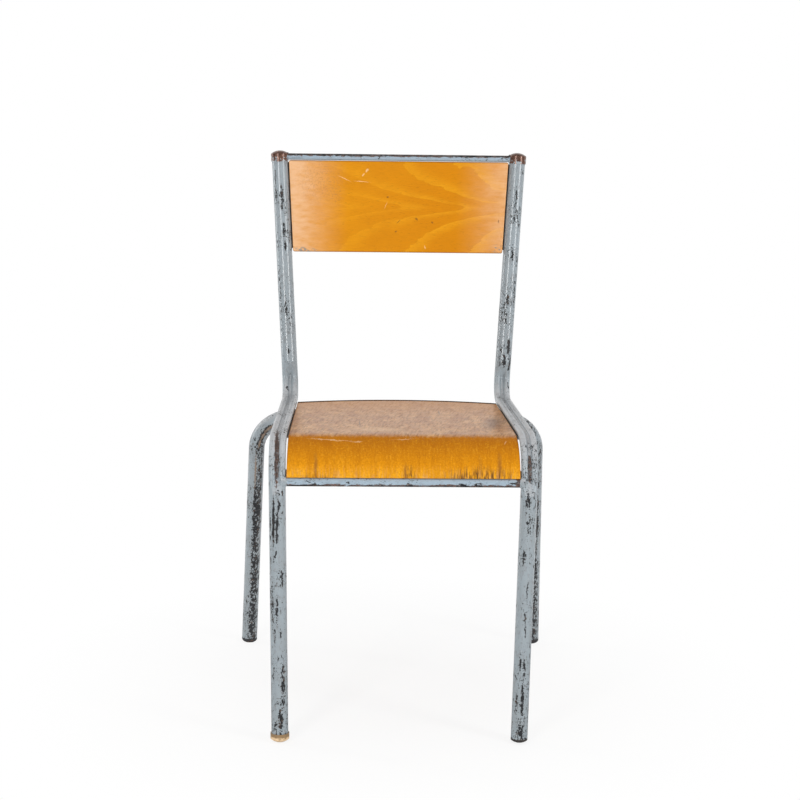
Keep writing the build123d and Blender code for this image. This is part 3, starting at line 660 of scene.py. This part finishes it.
def backrest_ply():
    """The backrest's finish, on axes that lean with it: x across, y through and z up the board."""
    material, tree = new_material("varnished_beech_backrest")
    local = add_node(tree, "Mapping", millimetres(tree), board_centre, board_turn, vector_type="TEXTURE")
    across, through, up = add_node(tree, "SeparateXYZ", local).node.outputs
    ragged = jitter(tree, local, 4.0, 3.0)

    # the figure shows best right of the middle, under clouded varnish
    ring = beech_rings(tree, local, across, up)
    colour = coat(tree, amber_light, amber_dark, add_node(tree, "MapRange", ring, 0.0, 0.45))
    colour = coat(tree, "#D48C0C", colour, add_node(tree, "MapRange", across, -110.0, 60.0, 0.15, 0.7))
    cloud = patches(tree, local, 30.0, (0.44, 0.70, 0.0, 0.5), (1.8, 1.0, 1.0), detail=5.0, roughness=0.6)
    colour = coat(tree, colour, "#C47A08", cloud)
    colour = grain(tree, local, colour, (11.0, 1.0, 1.0))
    worn = scuffing(tree, local, across)
    colour = coat(tree, colour, haze, worn)

    # pale marks, where the varnish is scratched through, dark dents, and pepper at the left end
    pale = marks(tree, ragged, board_scratches)
    dark = marks(tree, ragged, board_dents)
    peppered = marks(tree, local, board_pepper)
    pepper = patches(tree, local, 2.2, (0.50, 0.62), (1.2, 1.0, 1.0))
    pepper = add_node(tree, "Math", pepper, peppered, operation="MULTIPLY")
    colour = coat(tree, colour, "#EFCF9B", pale, 0.65)
    colour = coat(tree, colour, "#5A3B1C", dark, 0.65)
    colour = coat(tree, colour, "#7E5A4A", pepper, 0.24)

    # chipped corners and rubbed edges
    corners = marks(tree, local, board_corners)
    chipped = patches(tree, local, 3.0, (0.48, 0.60), (1.8, 1.0, 1.0), detail=4.0)
    colour = coat(tree, colour, "#8C857C", chipped, corners)
    from_middle = add_node(tree, "Math", up, operation="ABSOLUTE")
    rubbed = add_node(tree, "MapRange", from_middle, 69.8, 71.2, 0.0, 0.55)
    colour = coat(tree, colour, "#6A4014", rubbed)

    # plies at the edges, where the surface doesn't face forwards or backwards
    normal = add_node(tree, "TexCoord").node.outputs["Normal"]
    facing = add_node(tree, "SeparateXYZ", normal).node.outputs["Y"]
    facing = add_node(tree, "Math", facing, operation="ABSOLUTE")
    depth = add_node(tree, "Math", through, ply_thickness / 2, operation="ADD")
    colour = plies(tree, depth, colour, add_node(tree, "MapRange", facing, 0.7, 0.5))

    # relief: dents, pepper and pores; real pores are 0.1 mm wide, too fine to show, so they are coarser here
    pores = patches(tree, local, 0.9, shape=(9.0, 1.0, 1.0), detail=2.0)
    relief = add_node(tree, "Math", pores, 0.25, operation="MULTIPLY")
    relief = add_node(tree, "Math", relief, dark, operation="SUBTRACT")
    relief = add_node(tree, "Math", pepper, -0.5, relief, operation="MULTIPLY_ADD")
    bump = add_node(tree, "Bump", named={"Height": relief, "Distance": 0.0002})
    roughness = add_node(tree, "MapRange", worn, 0.0, 1.0, 0.30, 0.45)
    finish = {"Base Color": colour, "Roughness": roughness, "Specular IOR Level": 0.15, "Normal": bump}
    add_node(tree, "OutputMaterial", add_node(tree, "BsdfPrincipled", named=finish))
    return material


backrest_finish = backrest_ply()
dress(backrest_finish, "backrest_panel")
print("nodes in the backrest's finish:", len(backrest_finish.node_tree.nodes))

# %% [markdown]
# ## The seat
# The same veneer, with its grain running front to back and down over the rolled lip. People's legs polish
# and stain the lip: it's streaky below, and bruised and splintered along its bottom edge. It is also painted
# darker where it turns and lighter low down, as painted shade and painted light. The flat top has lost its
# gloss and its colour to years of sitting, and it is painted a darker brown than the lip, partly as painted
# shade.

# %% Marks on the seat
seat_low, seat_high = (Vector(corner) * 1000 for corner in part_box("seat_panel"))
lip_radius = 63.5
lip_y = seat_low.y + lip_radius
lip_z = seat_high.z - lip_radius
top_z = 445.0
rear_bow = 24.0 / 154.0**2  # the rear edge bows by 24 mm over its half width of 154 mm
seat_slope = 0.0535  # how much the flat top falls per millimetre towards the rear
# each mark is a centre, a reach, a turn and a core
lip_stripes = [
    ((-128.0, seat_low.y, lip_z + 26.0), (3.6, 40.0, 34.0), upright, 0.3),
    ((3.0, seat_low.y, lip_z + 14.0), (5.0, 40.0, 26.0), upright, 0.2),
    ((112.0, seat_low.y, lip_z + 22.0), (4.0, 40.0, 28.0), upright, 0.3),
    ((140.0, seat_low.y, lip_z + 28.0), (5.0, 40.0, 30.0), upright, 0.3),
]
lip_splinters = [
    ((112.0, seat_low.y, lip_z + 8.0), (66.0, 30.0, 26.0), upright, 0.45),
    ((8.0, seat_low.y, lip_z + 10.0), (14.0, 30.0, 24.0), upright, 0.3),
    ((-125.0, seat_low.y, lip_z + 9.0), (40.0, 30.0, 12.0), upright, 0.1),
]
lip_scratches = [
    ((-108.0, seat_low.y, lip_z + 59.6), (52.0, 60.0, 0.8), (0.0, 2.2, 0.0), 0.6),
    ((-68.0, seat_low.y, lip_z + 58.0), (12.0, 60.0, 0.8), (0.0, -3.0, 0.0), 0.5),
    ((3.0, seat_low.y, lip_z + 60.6), (34.0, 60.0, 0.6), (0.0, -2.0, 0.0), 0.5),
    ((150.0, seat_low.y, lip_z + 58.0), (1.4, 60.0, 3.0), (0.0, 50.0, 0.0), 0.4),
]
top_cracks = [
    ((-62.0, -70.0, top_z), (1.2, 34.0, 30.0), upright, 0.4),
    ((-105.0, -110.0, top_z), (1.2, 12.0, 30.0), (0.0, 0.0, 20.0), 0.4),
    ((-118.0, -118.0, top_z), (1.2, 10.0, 30.0), (0.0, 0.0, -15.0), 0.4),
    ((62.0, 20.0, top_z), (1.2, 24.0, 30.0), upright, 0.4),
]
print("lip axis at y", round(lip_y, 1), "z", round(lip_z, 1), "mm")


# %% The rolled lip and the worn top
def lip_colour(tree, place, ragged, up):
    """The rolled lip: amber, streaked down the grain, mottled, and bruised along its lower edge."""
    # amber, painted darker where the lip turns over and lighter low down: painted shade and painted light
    painted_light_below_turn = add_node(tree, "MapRange", up, lip_z + 58.0, lip_z + 22.0)
    low = add_node(tree, "MapRange", up, lip_z + 30.0, lip_z + 10.0)
    colour = coat(tree, "#B66C06", "#E09606", painted_light_below_turn)
    colour = coat(tree, colour, "#E6A620", low)

    # streaks, four of them wider, and mottling
    streak = patches(tree, place, 9.0, shape=(1.0, 14.0, 14.0), detail=5.0, roughness=0.75)
    fresh = patches(tree, place, 3.0, (0.50, 0.80, 0.0, 0.5), (1.0, 5.0, 5.0), detail=4.0, roughness=0.7)
    stripes = marks(tree, ragged, lip_stripes)
    cloud = patches(tree, place, 16.0, (0.45, 0.75, 0.0, 0.5), (1.0, 1.6, 1.6))
    mottle = patches(tree, place, 2.6, roughness=0.7)
    colour = coat(tree, colour, "#A86206", add_node(tree, "MapRange", streak, 0.42, 0.70, 0.0, 0.6))
    colour = coat(tree, colour, "#EFB02C", fresh)
    colour = coat(tree, colour, "#6E4A2C", stripes, streak)
    colour = coat(tree, colour, "#C57D08", cloud)
    colour = coat(tree, colour, "#A86408", add_node(tree, "MapRange", mottle, 0.48, 0.66, 0.0, 0.45))
    colour = coat(tree, colour, "#F2B22C", add_node(tree, "MapRange", mottle, 0.44, 0.30, 0.0, 0.35))
    colour = grain(tree, place, colour, (1.0, 6.0, 6.0))

    # bruises and splinters along the bottom edge, worst towards the right, and pale scratches on the turn
    foot = add_node(tree, "MapRange", up, lip_z + 32.0, lip_z + 6.0)
    bruise = patches(tree, place, 2.6, (0.48, 0.62), (1.0, 8.0, 8.0), detail=4.0, roughness=0.6)
    splinter = patches(tree, place, 2.2, (0.46, 0.58), (1.0, 9.0, 9.0), roughness=0.6)
    splintered = marks(tree, ragged, lip_splinters)
    pale = marks(tree, ragged, lip_scratches)
    colour = coat(tree, colour, "#B79A86", foot, bruise, 0.35)
    colour = coat(tree, colour, "#4A3020", splinter, splintered, 0.85)
    return coat(tree, colour, "#E8C292", pale, 0.8)


def worn_and_shaded_top(tree, place, ragged, deep):
    """The flat top's colour, partly painted shade, with a painted highlight; its furrows and cracks shape
    gloss and relief.
    """
    tanned = patches(tree, place, 20.0, (0.35, 0.65), (1.0, 1.5, 1.0), detail=4.0, roughness=0.6)
    pores = patches(tree, place, 5.0, (0.46, 0.62, 0.0, 0.3), (1.0, 2.4, 1.0), detail=5.0, roughness=0.7)
    slanted = add_node(tree, "Mapping", named={"Vector": place, "Rotation": (0.0, 0.0, math.radians(12.0))})
    furrow = patches(tree, slanted, 2.4, (0.46, 0.66), (1.0, 8.0, 1.0), roughness=0.6)
    rear = add_node(tree, "MapRange", deep, -20.0, 90.0, 0.0, 0.6)
    # painted highlight: a pale patch across the front of the top, where the varnish would catch the light
    painted_front_highlight = mark(tree, place, (-45.0, -118.0, top_z + 5.0), (70.0, 26.0, 40.0), core=0.1)
    crack = marks(tree, ragged, top_cracks)
    stain = mark(tree, ragged, (141.0, -60.0, top_z + 3.0), (22.0, 70.0, 30.0), (0.0, 0.0, -12.0), 0.2)
    # the top's colours are darker than the lip's: wear, and partly painted shade for the weaker light from
    # above
    colour = coat(tree, "#AE6C1C", "#D69E5A", tanned)
    colour = coat(tree, colour, "#8A5414", pores)
    colour = coat(tree, colour, "#8A5012", furrow, 0.7)
    colour = coat(tree, colour, "#C27C1C", rear)
    colour = coat(tree, colour, "#DDB07A", painted_front_highlight, 0.5)
    colour = coat(tree, colour, "#4C3420", crack, 0.6)
    return coat(tree, colour, "#5E3A1A", stain, 0.6), furrow, crack


print("marks on the lip:", len(lip_stripes + lip_splinters + lip_scratches), "cracks:", len(top_cracks))

# %% [markdown]
# ### The plies at the edges
# Plywood shows its veneers only where it was cut. The finish needs to know two things there: how deep a point
# lies under the upper face, and whether it lies on a cut edge. In the flat part the depth is a height, and in
# the lip it is a distance from the lip's axis. A cut edge is told by which way its surface faces.


# %% Depth and edges
def depth_in_seat(tree, place, deep, up):
    """Millimetres from the seat's lower face: a height in the flat part, a radius in the lip."""
    level = add_node(tree, "Math", deep, seat_slope, up, operation="MULTIPLY_ADD")
    underside = seat_high.z - ply_thickness + seat_slope * lip_y
    flat_depth = add_node(tree, "Math", level, underside, operation="SUBTRACT")
    in_profile = add_node(tree, "VectorMath", place, (0.0, 1.0, 1.0), operation="MULTIPLY")
    radius = add_node(tree, "VectorMath", in_profile, (0.0, lip_y, lip_z), operation="DISTANCE")
    lip_depth = add_node(tree, "Math", radius, lip_radius - ply_thickness, operation="SUBTRACT")
    in_lip = add_node(tree, "MapRange", deep, lip_y + 0.5, lip_y - 0.5)
    return add_node(tree, "Mix", in_lip, flat_depth, lip_depth, data_type="FLOAT")


def seat_edges(tree, normal, deep, up):
    """1 on the seat's side edges, its rear edge and the lip's lower edge."""
    sideways, backwards, upwards = add_node(tree, "SeparateXYZ", normal).node.outputs
    sideways = add_node(tree, "Math", sideways, operation="ABSOLUTE")
    side = add_node(tree, "MapRange", sideways, 0.5, 0.7)
    backwards = add_node(tree, "MapRange", backwards, 0.5, 0.7)
    at_rear = add_node(tree, "MapRange", deep, 50.0, 60.0)
    rear = add_node(tree, "Math", backwards, at_rear, operation="MULTIPLY")
    downwards = add_node(tree, "MapRange", upwards, -0.8, -0.9)
    lowest = add_node(tree, "MapRange", up, seat_low.z + 3, seat_low.z + 1)
    lower = add_node(tree, "Math", downwards, lowest, operation="MULTIPLY")
    edge = add_node(tree, "Math", side, rear, operation="MAXIMUM")
    return add_node(tree, "Math", edge, lower, operation="MAXIMUM")


print("inner radius of the lip:", lip_radius - ply_thickness, "mm")


# %% Seat
def seat_ply():
    """The seat's finish: worn flat top, amber lip with streaks, bruised lower edge, plies at the edges."""
    material, tree = new_material("varnished_beech_seat")
    place = millimetres(tree)
    ragged = jitter(tree, place, 4.0, 3.0)
    across, deep, up = add_node(tree, "SeparateXYZ", place).node.outputs
    normal = add_node(tree, "TexCoord").node.outputs["Normal"]
    upwards = add_node(tree, "SeparateXYZ", normal).node.outputs["Z"]

    # the top is worn, and partly painted shade, wherever it is flat, with a frayed border to the lip
    frayed = patches(tree, place, 4.0, (0.3, 0.7, -0.012, 0.012), (1.0, 3.0, 1.0), detail=4.0)
    flat = add_node(tree, "Math", upwards, frayed, operation="ADD")
    flat = add_node(tree, "MapRange", flat, 0.972, 0.996)
    top, furrow, crack = worn_and_shaded_top(tree, place, ragged, deep)
    colour = coat(tree, lip_colour(tree, place, ragged, up), top, flat)

    # the dark line along the bowed rear edge
    bow = add_node(tree, "Math", across, across, operation="MULTIPLY")
    rear = add_node(tree, "Math", bow, rear_bow, deep, operation="MULTIPLY_ADD")
    rear = add_node(tree, "MapRange", rear, seat_high.y - 12.0, seat_high.y - 8.0, 0.0, 0.95)
    colour = coat(tree, colour, "#3A2C20", rear)
    edge = seat_edges(tree, normal, deep, up)
    colour = plies(tree, depth_in_seat(tree, place, deep, up), colour, edge)

    # the top is patchy, least glossy at the rear and in its furrows, and the dark line is dull
    matt = patches(tree, place, 7.0, (0.35, 0.65, 0.42, 0.95), (1.0, 1.8, 1.0), detail=5.0, roughness=0.65)
    towards_rear = add_node(tree, "MapRange", deep, -10.0, 90.0, 1.0, 0.42)
    in_furrow = add_node(tree, "MapRange", furrow, 0.0, 1.0, 1.12, 0.4)
    matt = add_node(tree, "Math", matt, towards_rear, operation="MULTIPLY")
    matt = add_node(tree, "Math", matt, in_furrow, operation="MULTIPLY")
    sheen = add_node(tree, "Mix", flat, 0.12, matt, data_type="FLOAT")
    in_line = add_node(tree, "MapRange", rear, 0.0, 0.8, 1.0, 0.02)
    sheen = add_node(tree, "Math", sheen, in_line, operation="MULTIPLY")
    roughness = add_node(tree, "MapRange", flat, 0.0, 1.0, 0.32, 0.33)
    roughness = add_node(tree, "Math", rear, 0.4, roughness, operation="MULTIPLY_ADD")
    orange_peel = add_node(tree, "Math", patches(tree, place, 6.0), flat, operation="MULTIPLY")
    relief = add_node(tree, "Math", orange_peel, crack, operation="SUBTRACT")
    bump = add_node(tree, "Bump", named={"Height": relief, "Distance": 0.0003})
    finish = {"Base Color": colour, "Roughness": roughness, "Specular IOR Level": sheen, "Normal": bump}
    add_node(tree, "OutputMaterial", add_node(tree, "BsdfPrincipled", named=finish))
    return material


seat_finish = seat_ply()
dress(seat_finish, "seat_panel")
print("nodes in the seat's finish:", len(seat_finish.node_tree.nodes))

# %% [markdown]
# ## Caps, glides and screws
# The caps on the posts have lost nearly all their enamel: what shows is brown, burnished rust with scraps of
# grey at the skirt. One foot has a caramel-coloured plastic cup, the others black plugs. The screws are
# zinc-plated and sit out of sight.


# %% Caps, glides and screws
def rusted_cap():
    """Pressed sheet steel, burnished brown rust, scraps of enamel low on the skirt, painted shade in crevices.
    """
    material, tree = new_material("burnished_rust_cap")
    place = millimetres(tree)
    height = add_node(tree, "SeparateXYZ", place).node.outputs["Z"]
    browner = patches(tree, place, 5.0, (0.35, 0.65), detail=4.0, roughness=0.6)
    colour = coat(tree, "#4E342B", "#7A5A4B", browner)
    skirt_low, skirt_high = 807.0, 818.0
    skirt = add_node(tree, "MapRange", height, skirt_high, skirt_low, -0.10, 0.10)
    scraps = add_node(tree, "Math", patches(tree, place, 4.0, detail=4.0), skirt, operation="ADD")
    scraps = add_node(tree, "MapRange", scraps, 0.57, 0.60)
    colour = coat(tree, colour, "#99A1A5", scraps)
    # painted shade: near black wherever ambient occlusion finds a crevice, as where the skirt meets the tube
    crevice = add_node(tree, "AmbientOcclusion", named={"Distance": 0.003}, samples=8).node.outputs["AO"]
    colour = coat(tree, colour, "#2A2422", add_node(tree, "MapRange", crevice, 0.7, 0.3, 0.0, 0.8))
    metal = add_node(tree, "MapRange", scraps, 0.0, 1.0, 0.35, 0.0)
    finish = {"Base Color": colour, "Roughness": 0.26, "Metallic": metal}
    add_node(tree, "OutputMaterial", add_node(tree, "BsdfPrincipled", named=finish))
    return material


def glide(name, body, stain, level, roughness):
    """A worn plastic or rubber glide: stain gathers above the given height in millimetres, and in patches."""
    material, tree = new_material(name)
    place = millimetres(tree)
    height = add_node(tree, "SeparateXYZ", place).node.outputs["Z"]
    uneven = patches(tree, place, 4.0, (0.3, 0.7, -3.0, 3.0), (2.0, 2.0, 1.0), detail=4.0)
    stained = add_node(tree, "Math", height, uneven, operation="ADD")
    stained = add_node(tree, "MapRange", stained, level - 1.5, level + 1.5)
    finish = {"Base Color": coat(tree, body, stain, stained), "Roughness": roughness}
    add_node(tree, "OutputMaterial", add_node(tree, "BsdfPrincipled", named=finish))
    return material


def zinc():
    """Zinc-plated steel, dulled."""
    material, tree = new_material("dull_zinc_plate")
    place = millimetres(tree)
    spangle = patches(tree, place, 2.0)
    colour = coat(tree, "#8E8B86", "#A5A29B", spangle)
    roughness = add_node(tree, "MapRange", spangle, 0.3, 0.7, 0.35, 0.5)
    finish = {"Base Color": colour, "Metallic": 1.0, "Roughness": roughness}
    add_node(tree, "OutputMaterial", add_node(tree, "BsdfPrincipled", named=finish))
    return material


dress(rusted_cap(), "post_cap_left", "post_cap_right")
caramel_glide = glide("scuffed_caramel_plastic", "#DDC09A", "#8F7452", level=8.5, roughness=0.35)
black_glide = glide("scuffed_black_rubber", "#2B2927", "#3A3532", level=5.0, roughness=0.5)
dress(caramel_glide, "front_left_glide")
dress(black_glide, "front_right_glide", "rear_left_glide", "rear_right_glide")
dress(zinc(), "seat_screws", "tab_screws", "back_screws")
print("finishes:", len(bpy.data.materials))
